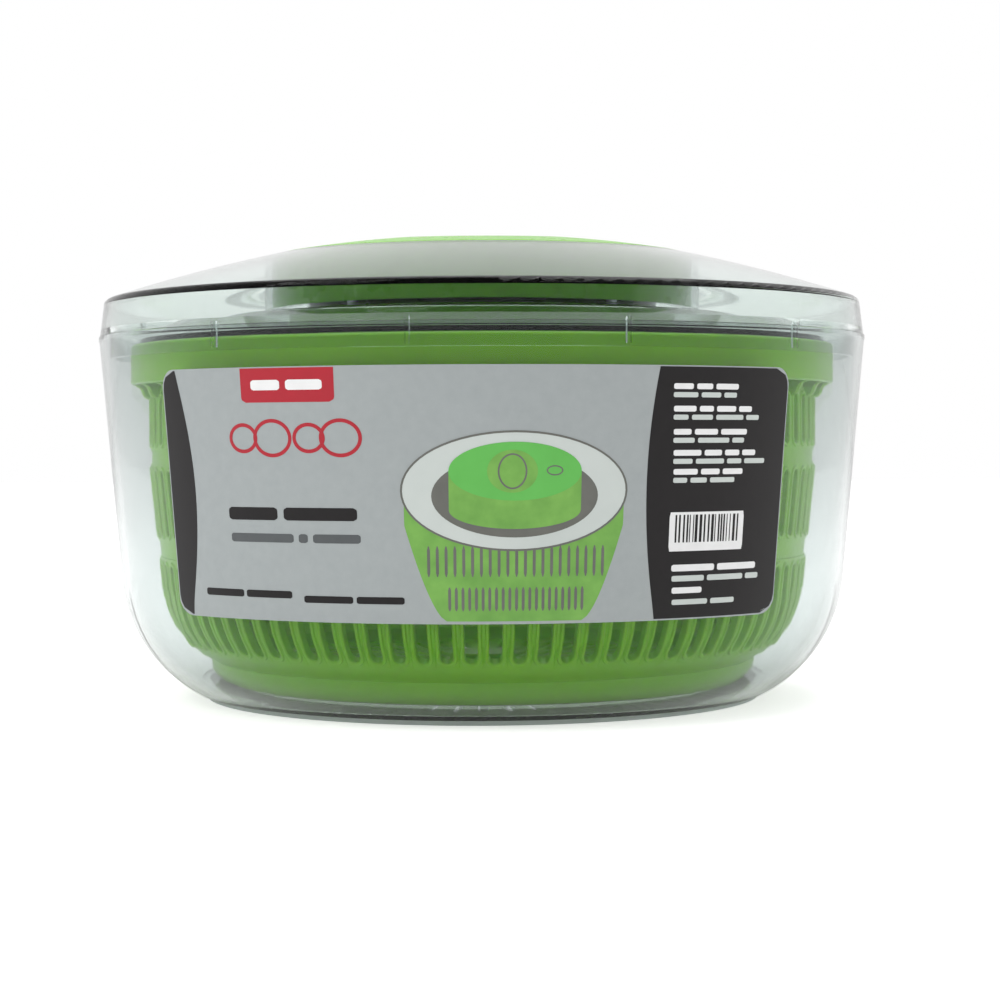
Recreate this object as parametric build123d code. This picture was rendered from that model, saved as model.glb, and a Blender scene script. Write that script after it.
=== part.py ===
from build123d import *

import os
from math import acos, asin, cos, degrees, pi, radians, sin, sqrt

# Pull-cord salad spinner. Millimetres, +Z up. The origin is the centre of the flat underside,
# and the front of the bowl, where the label is, faces -Y.

os.makedirs("parts", exist_ok=True)

# ---- Driving dimensions ----------------------------------------------------------------
RIM_Z = 121.5            # where the lid sits on the bowl
TOP_Z = 155.8            # crown of the mechanism cover
GAP = 0.3                # clearance between parts that turn or slide past each other

# Outer bowl
BOWL_RIM_R = 130.0
BOWL_WALL = 2.4
BOWL_DRAFT = 5.0         # degrees from vertical
BOWL_CORNER_R = 47.7
BOWL_CORNER_CENTRE = (75.3, 44.15)
BOWL_UNDERSIDE_Z = 1.8
BOWL_FLOOR_Z = 4.6
RING_R = 94.4
RING_WIDTH = 8.4
RING_HEIGHT = 3.0
PIN_R = 4.0
PIN_TOP_Z = 9.0

# Front label, a thin sticker on the bowl's wall
LABEL_LOW_Z = 33.2
LABEL_HIGH_Z = 108.5
LABEL_LEFT = -49.7       # degrees from the front
LABEL_RIGHT = 46.6
LABEL_THICK = 0.25
LABEL_LIFT = 0.05
LABEL_CORNER = 6.0

# Basket
BASKET_R = 113.0
BASKET_WALL = 2.2
BASKET_BOTTOM_Z = 6.0
BASKET_TOP_Z = 118.5
BAND_R = 119.4
BAND_LOW_Z = 105.5
BAND_WALL = 2.0
SLOT_COUNT = 90
SLOT_WIDTH = 4.0
SLOT_TIERS = ((20.0, 46.2), (55.8, 77.2), (85.6, 101.6))
FLOOR_SLOT_WIDTH = 3.4
FLOOR_SLOT_RINGS = ((36, 26.0, 50.0), (60, 57.0, 84.0))
WEB_COUNT = 45
PIVOT_R = 8.0
PIVOT_TOP_Z = 10.6
NOTCH_COUNT = 6
NOTCH_DEGREES = 10.0
NOTCH_R = 115.0

# Lid
LID_R = 129.6
LID_SHOULDER = (128.1, 133.55)
LID_SHOULDER_RADIUS = 2.2
LID_SLOPE_MIDDLE = (99.5, 142.3)
LID_WALL = 2.2
SKIRT_R = 126.4
SKIRT_WALL = 1.8
SKIRT_LOW_Z = 114.0
OPENING_R = 72.4
OPENING_Z = 149.1
COLLAR_WALL = 2.0
LID_FLANGE_Z = 130.0
LID_FLANGE_THICK = 1.6
LID_FLANGE_R = 60.0
LID_RIB_COUNT = 12

# Mechanism cover and lower housing
COVER_R = 71.8
COVER_EDGE_Z = 149.3
COVER_WALL = 2.2
RECESS_WIDTH = 60.0
RECESS_LENGTH = 108.0
RECESS_FLOOR_Z = 141.0
DOME_RISE = TOP_Z - COVER_EDGE_Z
DOME_R = (COVER_R ** 2 + DOME_RISE ** 2) / (2 * DOME_RISE)
HOUSING_R = 66.0
HOUSING_WALL = 2.5
HOUSING_FLOOR_Z = 106.0
HOUSING_FLOOR = 2.4
SCREW_CIRCLE_R = 56.0
SCREW_R = 1.5
SCREW_HEAD_Z = 110.0

# Cord, spool and clutch
CORD_R = 1.0
WINDING_R = 15.0         # middle of the outermost turn
WINDING_Z = 121.7
SPOOL_R = 22.0
SPOOL_LOW_Z = 117.0
SPOOL_DRUM_R = 12.5
SPOOL_CUP_TOP_Z = 134.0
FLANGE = 1.5
AXLE_R = 2.5
AXLE_LOW_Z = 102.2
AXLE_TOP_Z = 138.4
AXLE_BOSS_R = 5.0
AXLE_BOSS_LOW_Z = 126.8
CLIP_Z = 102.7
CLIP_THICK = 0.7
CLIP_R = 5.0
SPRING_LOW_Z = 127.2
SPRING_HEIGHT = 6.0
CLUTCH_R = 8.6
CLUTCH_FIT = 0.15
CLUTCH_WIRE = 0.9
CLUTCH_SPRING_Z = 109.4
CORD_EXIT_Y = 37.0
PULLEY_PATH_R = 6.5
PULLEY_R = 7.6
PULLEY_WIDTH = 5.0
PULLEY_PIN_R = 1.2
EYELET_R = 3.2

# Handle
HANDLE_WIDTH = 27.0
HANDLE_LENGTH = 88.0
HANDLE_LOW_Z = 142.2
HANDLE_TOP_Z = 154.6
HANDLE_WALL = 1.8
KNOT_Z = 146.3

# Stop button
BUTTON_X, BUTTON_Y = 53.0, 16.0
BUTTON_R = 9.6
STEM_R = 3.0
BUTTON_SEAT_Z = 139.1
BUTTON_UNDER_Z = 146.4
BUTTON_PROUD = 0.8
BUTTON_DISH_R = 40.0
BUTTON_DISH_Z = 191.9
GUIDE_R = 11.4
PAD_R = 4.4
PAD_LOW_Z = 107.2

# Drive disc
DISC_R = 110.3
DISC_WALL = 1.6
DISC_FLOOR_Z = 101.8
DISC_WELL_R = 70.0
DISC_CREST_R = 88.5
DISC_CREST_Z = 128.6
DISC_FLANGE_R = 116.4
DISC_FLANGE_Z = 118.8
HUB_R = 18.0
HUB_SPIGOT_R = 7.3
HUB_SCREW_CIRCLE = 13.0
LUG_DEGREES = 8.0


# ---- Helpers ---------------------------------------------------------------------------
def turned(points):
    """Solid of revolution about Z of a closed outline of (radius, height) corners."""
    return revolve(make_face(Plane.XZ * Polyline(*points, close=True)), Axis.Z)


def tube(inner_r, outer_r, low_z, high_z):
    """A straight tube, or a rod where inner_r is 0, round the Z axis."""
    return turned([(inner_r, low_z), (outer_r, low_z), (outer_r, high_z), (inner_r, high_z)])


def stadium(width, length, low_z, high_z):
    """An upright block with half-round ends, long along Y."""
    outline = SlotOverall(length, width, rotation=90)
    return extrude(Pos(0, 0, low_z) * outline, high_z - low_z)


def spun(shape, count, start=0.0):
    """Copies of a shape set evenly round the Z axis."""
    return [Rot(0, 0, start + 360.0 * step / count) * shape for step in range(count)]


def save(shape, name):
    """Write one sub-part and name its solid after it."""
    solids = shape.solids()
    whole = solids[0] if len(solids) == 1 else Compound(children=solids)
    whole.label = name
    export_step(whole, "parts/" + name + ".step")


def wall(path, thickness, angle=360.0):
    """A sheet turned about Z. The path is one of its faces, and it thickens to the path's left."""
    outline = Wire(path.edges()).offset_2d(
        thickness, kind=Kind.INTERSECTION, side=Side.LEFT, closed=True
    )
    return revolve(make_face(Plane.XZ * outline), Axis.Z, angle)


# ---- Bowl ------------------------------------------------------------------------------
def bowl_arc_radius(z):
    """Radius of the bowl's outer face at a height within its rounded corner."""
    centre_r, centre_z = BOWL_CORNER_CENTRE
    return centre_r + sqrt(BOWL_CORNER_R ** 2 - (centre_z - z) ** 2)


def bowl_side():
    """The bowl's outer face from the underside to the rim, as two (radius, height) curves."""
    centre_r, centre_z = BOWL_CORNER_CENTRE
    draft = radians(BOWL_DRAFT)
    tangent = (centre_r + BOWL_CORNER_R * cos(draft), centre_z - BOWL_CORNER_R * sin(draft))
    half_way = radians(-35.0)
    middle = (centre_r + BOWL_CORNER_R * cos(half_way), centre_z + BOWL_CORNER_R * sin(half_way))
    foot = (bowl_arc_radius(BOWL_UNDERSIDE_Z), BOWL_UNDERSIDE_Z)
    rim_z = RIM_Z - 0.2
    rim = (tangent[0] + (rim_z - tangent[1]) * sin(draft) / cos(draft), rim_z)
    return foot, tangent, rim, ThreePointArc(foot, middle, tangent) + Line(tangent, rim)


def outer_bowl():
    """Clear bowl with a flat floor, a centre pin, a groove for the ring and a beaded rim."""
    foot, _, rim, side = bowl_side()
    shell = wall(side, BOWL_WALL)
    floor = tube(0, foot[0], BOWL_UNDERSIDE_Z, BOWL_FLOOR_Z)
    pin = fillet(tube(0, PIN_R, BOWL_FLOOR_Z - 1, PIN_TOP_Z).edges().sort_by(Axis.Z)[-1], 1.0)
    boss = tube(0, PIN_R + 3, BOWL_FLOOR_Z - 1, BOWL_FLOOR_Z + 0.4)
    bead = tube(rim[0] - 0.8, BOWL_RIM_R, rim[1] - 1.4, rim[1])
    groove = tube(RING_R - RING_WIDTH, RING_R, 0, RING_HEIGHT)
    trim = tube(0, BOWL_RIM_R + 1, rim[1], RIM_Z + 2)
    return shell - trim + floor + boss + pin + bead - groove


def base_ring():
    """Non-slip ring set in the bowl's groove, with three shallow grooves in its tread."""
    ring = tube(RING_R - RING_WIDTH, RING_R, 0, RING_HEIGHT)
    grooves = [tube(radius, radius + 0.8, 0, 0.4) for radius in (88.0, 90.0, 92.0)]
    return ring - grooves


def front_label():
    """Curved sticker that wraps the front of the bowl, with rounded corners."""
    _, tangent, rim, _ = bowl_side()
    slope = (rim[0] - tangent[0]) / (rim[1] - tangent[1])
    draft = radians(BOWL_DRAFT)
    centre_r, centre_z = BOWL_CORNER_CENTRE
    lift = LABEL_LIFT / cos(draft)

    def face_r(z):
        """Outer radius of the bowl at a height the label reaches."""
        return tangent[0] + (z - tangent[1]) * slope if z >= tangent[1] else bowl_arc_radius(z)

    low = (face_r(LABEL_LOW_Z) + lift, LABEL_LOW_Z)
    turn = asin((LABEL_LOW_Z - centre_z) / BOWL_CORNER_R)
    middle_turn = (turn - draft) / 2
    reach = BOWL_CORNER_R + LABEL_LIFT
    middle = (centre_r + reach * cos(middle_turn), centre_z + reach * sin(middle_turn))
    joint = (tangent[0] + lift, tangent[1])
    high = (face_r(LABEL_HIGH_Z) + lift, LABEL_HIGH_Z)
    path = Line(high, joint) + ThreePointArc(joint, middle, low)
    sheet = Rot(0, 0, -90 + LABEL_LEFT) * wall(path, LABEL_THICK, LABEL_RIGHT - LABEL_LEFT)
    inset = degrees(LABEL_CORNER / BOWL_RIM_R)
    for edge, sideways in ((LABEL_LEFT + inset, -1), (LABEL_RIGHT - inset, 1)):
        for z, upwards in ((LABEL_LOW_Z + LABEL_CORNER, -1), (LABEL_HIGH_Z - LABEL_CORNER, 1)):
            sheet -= label_corner(edge, z, sideways, upwards)
    return sheet


def label_corner(angle, z, sideways, upwards):
    """What a rounded corner takes off the label: a square less a disc, cut along the radius."""
    heading = radians(angle - 90)
    outwards = (cos(heading), sin(heading), 0)
    reach = LABEL_CORNER + 2
    start = (outwards[0] * BASKET_R, outwards[1] * BASKET_R, z)
    plane = Plane(start, x_dir=(-sin(heading), cos(heading), 0), z_dir=outwards)
    square = Pos(sideways * reach / 2, upwards * reach / 2) * Rectangle(reach, reach)
    return extrude(plane * (square - Circle(LABEL_CORNER)), BOWL_RIM_R - BASKET_R)


# ---- Basket ----------------------------------------------------------------------------
def basket_path():
    """The basket's outer face from the middle of its floor up to the top of its wall."""
    foot = Polyline((0, BASKET_BOTTOM_Z), (91.0, BASKET_BOTTOM_Z), (93.1, 9.0), (94.0, 13.2))
    corner = ThreePointArc((94.0, 13.2), (103.6, 22.0), (108.9, 37.0))
    side = Polyline((108.9, 37.0), (BASKET_R, 77.2), (BASKET_R, BASKET_TOP_Z))
    return foot + corner + side


def wall_slots():
    """Three tiers of upright slots through the wall, each slot a thin slice of a ring."""
    slice_degrees = degrees(SLOT_WIDTH / BASKET_R)
    slots = []
    for low_z, high_z in SLOT_TIERS:
        outline = Pos(BASKET_R - 10, (low_z + high_z) / 2) * Rectangle(36, high_z - low_z)
        slot = revolve(Plane.XZ * outline, Axis.Z, slice_degrees)
        slots += spun(slot, SLOT_COUNT, -slice_degrees / 2)
    return slots


def floor_slots():
    """Rings of radial slots through the floor."""
    slots = []
    for count, inner_r, outer_r in FLOOR_SLOT_RINGS:
        outline = SlotOverall(outer_r - inner_r, FLOOR_SLOT_WIDTH)
        slot = extrude(Pos((inner_r + outer_r) / 2, 0, BASKET_BOTTOM_Z - 1) * outline, 5)
        slots += spun(slot, count)
    return slots


def salad_basket():
    """Slotted basket with a rolled rim, webs under the rim, drive notches and a pivot socket."""
    shell = wall(basket_path(), BASKET_WALL)
    inner_r = BASKET_R - BASKET_WALL
    top = tube(inner_r, BAND_R, BASKET_TOP_Z - BAND_WALL, BASKET_TOP_Z)
    band = tube(BAND_R - BAND_WALL, BAND_R, BAND_LOW_Z, BASKET_TOP_Z)
    boss = tube(0, 11.0, BASKET_BOTTOM_Z, 13.0)
    socket = tube(0, PIVOT_R + GAP, BASKET_BOTTOM_Z - 1, PIVOT_TOP_Z + GAP)
    web_outline = Polyline(
        (BASKET_R - 1, BASKET_TOP_Z - 1), (BAND_R - 1, BASKET_TOP_Z - 1), (BAND_R - 1, BAND_LOW_Z),
        (BASKET_R + 3.2, BAND_LOW_Z), (BASKET_R + 2.6, BAND_LOW_Z - 3.2), (BASKET_R - 1, 101.9),
        close=True,
    )
    web = extrude(Plane.XZ * make_face(web_outline), 1.1, both=True)
    notch_width = 2 * NOTCH_R * sin(radians(NOTCH_DEGREES / 2))
    notch = Pos((inner_r + NOTCH_R) / 2 - 1, 0, BASKET_TOP_Z) * Box(
        NOTCH_R - inner_r + 2, notch_width, 5
    )
    basket = shell + top + band + boss + spun(web, WEB_COUNT, 180.0 / SLOT_COUNT)
    return basket - socket - spun(notch, NOTCH_COUNT) - wall_slots() - floor_slots()


def pivot_cap():
    """Wear cap over the bowl's pin, on which the basket turns."""
    cap = tube(0, PIVOT_R, BOWL_FLOOR_Z + 0.6, PIVOT_TOP_Z)
    cap = chamfer(cap.edges().sort_by(Axis.Z)[-1], 0.6)
    return cap - tube(0, PIN_R + 0.2, 0, PIN_TOP_Z + 0.2)


# ---- Lid, cover and housing ------------------------------------------------------------
def lid_shell():
    """Clear lid: rim and shallow dome, ribbed skirt, collar, and the flange that the cover sits on."""
    shoulder_r, shoulder_z = LID_SHOULDER
    middle_r, middle_z = LID_SLOPE_MIDDLE
    inner_shoulder = (shoulder_r - LID_WALL, shoulder_z - LID_WALL + 0.4)
    inner_middle = (middle_r - 0.5, middle_z - LID_WALL)
    inner_edge = (OPENING_R, OPENING_Z - LID_WALL)
    outline = Polyline(inner_shoulder, (LID_R - LID_WALL, RIM_Z), (LID_R, RIM_Z), LID_SHOULDER)
    outline += ThreePointArc(LID_SHOULDER, LID_SLOPE_MIDDLE, (OPENING_R, OPENING_Z))
    outline += Line((OPENING_R, OPENING_Z), inner_edge)
    outline += ThreePointArc(inner_edge, inner_middle, inner_shoulder)
    section = make_face(Wire(outline.edges()))
    outermost = section.vertices().sort_by_distance((shoulder_r, shoulder_z))[0]
    shell = revolve(Plane.XZ * fillet(outermost, LID_SHOULDER_RADIUS), Axis.Z)
    ledge = tube(SKIRT_R - SKIRT_WALL, LID_R - 1, RIM_Z, RIM_Z + 2)
    skirt = tube(SKIRT_R - SKIRT_WALL, SKIRT_R, SKIRT_LOW_Z, RIM_Z + 1)
    collar_r = OPENING_R + COLLAR_WALL
    collar = tube(OPENING_R, collar_r, LID_FLANGE_Z, OPENING_Z - 0.8)
    flange_top_z = LID_FLANGE_Z + LID_FLANGE_THICK
    flange = tube(LID_FLANGE_R, collar_r, LID_FLANGE_Z, flange_top_z)
    opening = tube(0, OPENING_R, flange_top_z, TOP_Z + 5)
    rib_r = SKIRT_R - SKIRT_WALL
    rib = Pos(rib_r - 0.6, 0, (SKIRT_LOW_Z + RIM_Z) / 2 + 1) * Box(2.0, 1.2, RIM_Z - SKIRT_LOW_Z)
    lid = shell + ledge + skirt + collar + flange - opening
    return lid + spun(rib, LID_RIB_COUNT, 20.0)


def under_dome(shrink, low_z):
    """Solid under the cover's crowned top, drawn in from it all round by a distance."""
    radius = COVER_R - shrink
    crown = TOP_Z - shrink
    edge_z = crown - DOME_R + shrink + sqrt((DOME_R - shrink) ** 2 - radius ** 2)
    half_r = radius / 2
    half_z = crown - DOME_R + shrink + sqrt((DOME_R - shrink) ** 2 - half_r ** 2)
    outline = Line((0, low_z), (radius, low_z)) + Line((radius, low_z), (radius, edge_z))
    outline += ThreePointArc((radius, edge_z), (half_r, half_z), (0, crown))
    outline += Line((0, crown), (0, low_z))
    return revolve(make_face(Plane.XZ * Wire(outline.edges())), Axis.Z)


def screw_places(shape):
    """The shape at each of the four screws that clamp housing, lid and cover."""
    return spun(Pos(SCREW_CIRCLE_R, 0, 0) * shape, 4, 45.0)


def mechanism_cover():
    """Domed cover with the handle recess, button guide, screw bosses and axle boss."""
    skirt_low_z = LID_FLANGE_Z + LID_FLANGE_THICK
    dome = under_dome(0, skirt_low_z)
    rim_edge = dome.edges().filter_by(lambda edge: edge.is_closed).sort_by(Axis.Z)[-1]
    dome = fillet(rim_edge, 1.0)
    cavity = under_dome(COVER_WALL, skirt_low_z - 1)
    floor_low_z = RECESS_FLOOR_Z - COVER_WALL
    widen = 2 * COVER_WALL
    tub = stadium(RECESS_WIDTH + widen, RECESS_LENGTH + widen, floor_low_z, TOP_Z)
    axle_boss = tube(0, AXLE_BOSS_R, AXLE_BOSS_LOW_Z, floor_low_z + 0.5)
    screw_boss = tube(0, 3.8, LID_FLANGE_Z + 0.1, TOP_Z)
    guide_outer = Pos(BUTTON_X, BUTTON_Y) * tube(0, GUIDE_R + 1.6, BUTTON_SEAT_Z - 1.6, TOP_Z)
    inside = tub + axle_boss + screw_places(screw_boss) + guide_outer
    cover = dome - (cavity - inside)
    recess = stadium(RECESS_WIDTH, RECESS_LENGTH, RECESS_FLOOR_Z, TOP_Z + 1)
    guide_bore = tube(0, GUIDE_R, BUTTON_SEAT_Z, BUTTON_UNDER_Z + 1.9)
    button_hole = tube(0, BUTTON_R + GAP + 0.1, BUTTON_SEAT_Z, TOP_Z)
    stem_hole = tube(0, STEM_R + GAP, RECESS_FLOOR_Z - 10, BUTTON_SEAT_Z + 1)
    button_way = Pos(BUTTON_X, BUTTON_Y) * (guide_bore + button_hole + stem_hole)
    pilot = screw_places(tube(0, SCREW_R, LID_FLANGE_Z, 142.5))
    axle_hole = tube(0, AXLE_R, AXLE_BOSS_LOW_Z - 1, AXLE_TOP_Z)
    eyelet_hole = Pos(0, CORD_EXIT_Y) * tube(0, EYELET_R, floor_low_z - 1, RECESS_FLOOR_Z + 1)
    cover = cover - recess - button_way - pilot - axle_hole - eyelet_hole
    return cover + nest_ribs()


def nest_ribs():
    """Low ribs on the recess floor that the stowed handle rests between."""
    long_rib = Pos(0, -6, RECESS_FLOOR_Z + 0.3) * Box(1.6, 62, 1.0)
    cross_rib = Pos(0, 0, RECESS_FLOOR_Z + 0.3) * Box(20, 1.6, 1.0)
    long_ribs = [Pos(side * 10, 0, 0) * long_rib for side in (-1, 1)]
    cross_ribs = [Pos(0, y, 0) * cross_rib for y in (-36, -6, 24)]
    return long_ribs + cross_ribs


def lower_housing():
    """Cup that hangs under the lid's flange: screw columns, shaft hole and pulley posts."""
    floor_top_z = HOUSING_FLOOR_Z + HOUSING_FLOOR
    cup = tube(0, HOUSING_R, HOUSING_FLOOR_Z, LID_FLANGE_Z)
    cup = fillet(cup.edges().filter_by(GeomType.CIRCLE).sort_by(Axis.Z)[0], 2.5)
    cup -= tube(0, HOUSING_R - HOUSING_WALL, floor_top_z, LID_FLANGE_Z + 1)
    column = tube(0, 4.6, HOUSING_FLOOR_Z, LID_FLANGE_Z)
    clearance = tube(0, SCREW_R + 0.2, 0, LID_FLANGE_Z + 1)
    head_recess = tube(0, 3.4, 0, SCREW_HEAD_Z)
    cup = cup + screw_places(column) - screw_places(clearance + head_recess)
    shaft_hole = tube(0, CLUTCH_R + 0.4, 0, floor_top_z + 1)
    pad_hole = Pos(BUTTON_X, BUTTON_Y) * tube(0, PAD_R + 0.6, 0, floor_top_z + 1)
    return cup - shaft_hole - pad_hole + pulley_posts()


def housing_screws():
    """Four long pan-head screws with cross slots in their heads."""
    shank = tube(0, SCREW_R, SCREW_HEAD_Z - 0.1, 141.5)
    head = tube(0, 3.0, SCREW_HEAD_Z - 2.4, SCREW_HEAD_Z)
    head = fillet(head.edges().filter_by(GeomType.CIRCLE).sort_by(Axis.Z)[0], 0.8)
    slot = Pos(0, 0, SCREW_HEAD_Z - 2.4) * Box(3.6, 0.8, 2.0)
    return Part() + screw_places(head + shank - slot - Rot(0, 0, 90) * slot)


# ---- Cord drive ------------------------------------------------------------------------
def pulley_frame():
    """Plane whose Z is the guide pulley's axis and whose X points back along the level cord."""
    reach = sqrt(CORD_EXIT_Y ** 2 - WINDING_R ** 2)
    leaves = tangent_point()
    back = (leaves[0] / reach, (leaves[1] - CORD_EXIT_Y) / reach, 0)
    centre = (
        back[0] * PULLEY_PATH_R,
        CORD_EXIT_Y + back[1] * PULLEY_PATH_R,
        WINDING_Z + PULLEY_PATH_R,
    )
    return Plane(centre, x_dir=back, z_dir=(back[1], -back[0], 0))


def tangent_point():
    """Where the cord leaves the winding, level, on its way to the exit above CORD_EXIT_Y."""
    turn = acos(WINDING_R / CORD_EXIT_Y)
    return WINDING_R * sin(turn), WINDING_R * cos(turn)


def pulley_posts():
    """Two upright ears on the housing floor that carry the pulley's pin."""
    frame = pulley_frame()
    drop = frame.origin.Z - HOUSING_FLOOR_Z - HOUSING_FLOOR / 2
    outline = Pos(0, (3.5 - drop) / 2) * Rectangle(7, drop + 3.5)
    posts = []
    for side in (-1, 1):
        offset = side * (PULLEY_WIDTH / 2 + GAP + 1.0)
        post = extrude(frame.offset(offset) * outline, 1.0, both=True)
        hole = extrude(frame.offset(offset) * Circle(PULLEY_PIN_R), 2.0, both=True)
        posts.append(post - hole)
    return posts


def guide_pulley():
    """Grooved pulley that turns the cord from level to upright."""
    groove_r = PULLEY_PATH_R - CORD_R - GAP
    half = PULLEY_WIDTH / 2
    outline = Polyline(
        (PULLEY_PIN_R + 0.1, -half), (PULLEY_R, -half), (PULLEY_R, -half + 0.7),
        (groove_r, -1.0), (groove_r, 1.0), (PULLEY_R, half - 0.7), (PULLEY_R, half),
        (PULLEY_PIN_R + 0.1, half), close=True,
    )
    return pulley_frame() * revolve(make_face(Plane.XZ * outline), Axis.Z)


def pulley_pin():
    """Steel pin held in the two ears."""
    return extrude(pulley_frame() * Circle(PULLEY_PIN_R), PULLEY_WIDTH / 2 + 2.2, both=True)


def pull_cord():
    """The cord's run at rest: level off the winding, round the pulley and up to the handle."""
    leaves = tangent_point()
    start = (leaves[0], leaves[1], WINDING_Z)
    corner = (0, CORD_EXIT_Y, WINDING_Z)
    end = (0, CORD_EXIT_Y, HANDLE_LOW_Z)
    path = FilletPolyline(start, corner, end, radius=PULLEY_PATH_R)
    section = Plane(start, z_dir=path % 0) * Circle(CORD_R)
    cord = sweep(section, path=path)
    print("cord radius", PULLEY_PATH_R, "volume", cord.volume, pi * CORD_R ** 2 * path.length)
    return cord


def cord_eyelet():
    """Flanged bush in the recess floor that the cord runs through."""
    tube_part = tube(CORD_R + 0.5, EYELET_R, RECESS_FLOOR_Z - COVER_WALL - 0.8, RECESS_FLOOR_Z)
    flange = tube(CORD_R + 0.5, EYELET_R + 1.3, RECESS_FLOOR_Z, RECESS_FLOOR_Z + 0.8)
    flange = fillet(flange.edges().filter_by(GeomType.CIRCLE).sort_by(Axis.Z)[-2:], 0.3)
    return Pos(0, CORD_EXIT_Y) * (tube_part + flange)


def cord_spool():
    """Flanged drum for the cord, with the spring's cup above it and the clutch's boss below."""
    drum_low_z = SPOOL_LOW_Z + FLANGE
    drum_high_z = 2 * WINDING_Z - drum_low_z
    cup_floor_z = drum_high_z + FLANGE
    outline = [
        (AXLE_R + 0.15, SPOOL_LOW_Z - 3.8), (CLUTCH_R, SPOOL_LOW_Z - 3.8),
        (CLUTCH_R, SPOOL_LOW_Z), (SPOOL_R, SPOOL_LOW_Z), (SPOOL_R, drum_low_z),
        (SPOOL_DRUM_R, drum_low_z), (SPOOL_DRUM_R, drum_high_z), (SPOOL_R, drum_high_z),
        (SPOOL_R, SPOOL_CUP_TOP_Z), (SPOOL_R - 1.8, SPOOL_CUP_TOP_Z),
        (SPOOL_R - 1.8, cup_floor_z), (AXLE_R + 0.15, cup_floor_z),
    ]
    return turned(outline)


def cord_winding():
    """The wound-up cord as one ring, up to the inner side of the turn that is leaving it."""
    half = WINDING_Z - SPOOL_LOW_Z - FLANGE - 0.1
    outer_r = WINDING_R - CORD_R - GAP / 2
    return tube(SPOOL_DRUM_R, outer_r, WINDING_Z - half, WINDING_Z + half)


def recoil_spring():
    """Flat spiral spring between the axle's boss and the spool's cup."""
    inner_r, outer_r = AXLE_BOSS_R + 0.6, SPOOL_R - 2.2
    turns = 6
    steps = 16 * turns
    strip = 0.5

    def spiral(extra):
        """Points along one face of the strip."""
        points = []
        for step in range(steps + 1):
            radius = inner_r + (outer_r - strip - inner_r) * step / steps + extra
            heading = 2 * pi * turns * step / steps
            points.append((radius * cos(heading), radius * sin(heading)))
        return points

    inner, outer = Spline(spiral(0)), Spline(spiral(strip))
    ends = Line(inner @ 0, outer @ 0) + Line(inner @ 1, outer @ 1)
    face = make_face(Wire((inner + outer + ends).edges()))
    return extrude(Pos(0, 0, SPRING_LOW_Z) * face, SPRING_HEIGHT)


def spool_axle():
    """Fixed steel axle with a groove for the retaining clip at its lower end."""
    groove = tube(AXLE_R - 0.5, AXLE_R + 1, CLIP_Z, CLIP_Z + CLIP_THICK)
    return tube(0, AXLE_R, AXLE_LOW_Z, AXLE_TOP_Z) - groove


def retaining_clip():
    """E-clip on the axle under the drive hub."""
    ring = tube(AXLE_R - 0.5, CLIP_R, CLIP_Z, CLIP_Z + CLIP_THICK)
    mouth = Pos(CLIP_R, 0, CLIP_Z + CLIP_THICK / 2) * Box(2 * CLIP_R, 2 * AXLE_R - 1.4, 2)
    return ring - mouth


def clutch_spring():
    """Wrap spring round the spool's boss and the drive hub, which grips one way only."""
    turns = 6
    pitch = CLUTCH_WIRE + 0.25
    centre_r = CLUTCH_R + CLUTCH_FIT + CLUTCH_WIRE / 2
    path = Helix(pitch=pitch, height=turns * pitch, radius=centre_r)
    start = Plane(path @ 0, z_dir=path % 0)
    coil = sweep(start * Circle(CLUTCH_WIRE / 2), path=path, is_frenet=True)
    return Pos(0, 0, CLUTCH_SPRING_Z) * coil


def drive_hub():
    """Hub that carries the disc: shaft up to the clutch, flange screwed to the disc."""
    outline = [
        (AXLE_R + 0.15, CLIP_Z + CLIP_THICK + 0.2), (CLIP_R + 0.6, CLIP_Z + CLIP_THICK + 0.2),
        (CLIP_R + 0.6, DISC_FLOOR_Z), (HUB_SPIGOT_R, DISC_FLOOR_Z),
        (HUB_SPIGOT_R, DISC_FLOOR_Z + DISC_WALL), (HUB_R, DISC_FLOOR_Z + DISC_WALL),
        (HUB_R, HOUSING_FLOOR_Z - 0.5), (CLUTCH_R, HOUSING_FLOOR_Z - 0.5),
        (CLUTCH_R, SPOOL_LOW_Z - 4.2), (AXLE_R + 0.15, SPOOL_LOW_Z - 4.2),
    ]
    screw_hole = Pos(HUB_SCREW_CIRCLE, 0) * tube(0, 1.1, 0, HOUSING_FLOOR_Z - 0.5)
    return turned(outline) - spun(screw_hole, 3)


def hub_screws():
    """Three small screws that hold the disc to the hub, heads underneath."""
    shank = tube(0, 1.1, DISC_FLOOR_Z - 0.1, HOUSING_FLOOR_Z - 0.9)
    head = tube(0, 2.2, DISC_FLOOR_Z - 1.5, DISC_FLOOR_Z)
    slot = Pos(0, 0, DISC_FLOOR_Z - 1.5) * Box(3.0, 0.6, 1.2)
    return Part() + spun(Pos(HUB_SCREW_CIRCLE, 0) * (head + shank - slot), 3)


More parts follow.
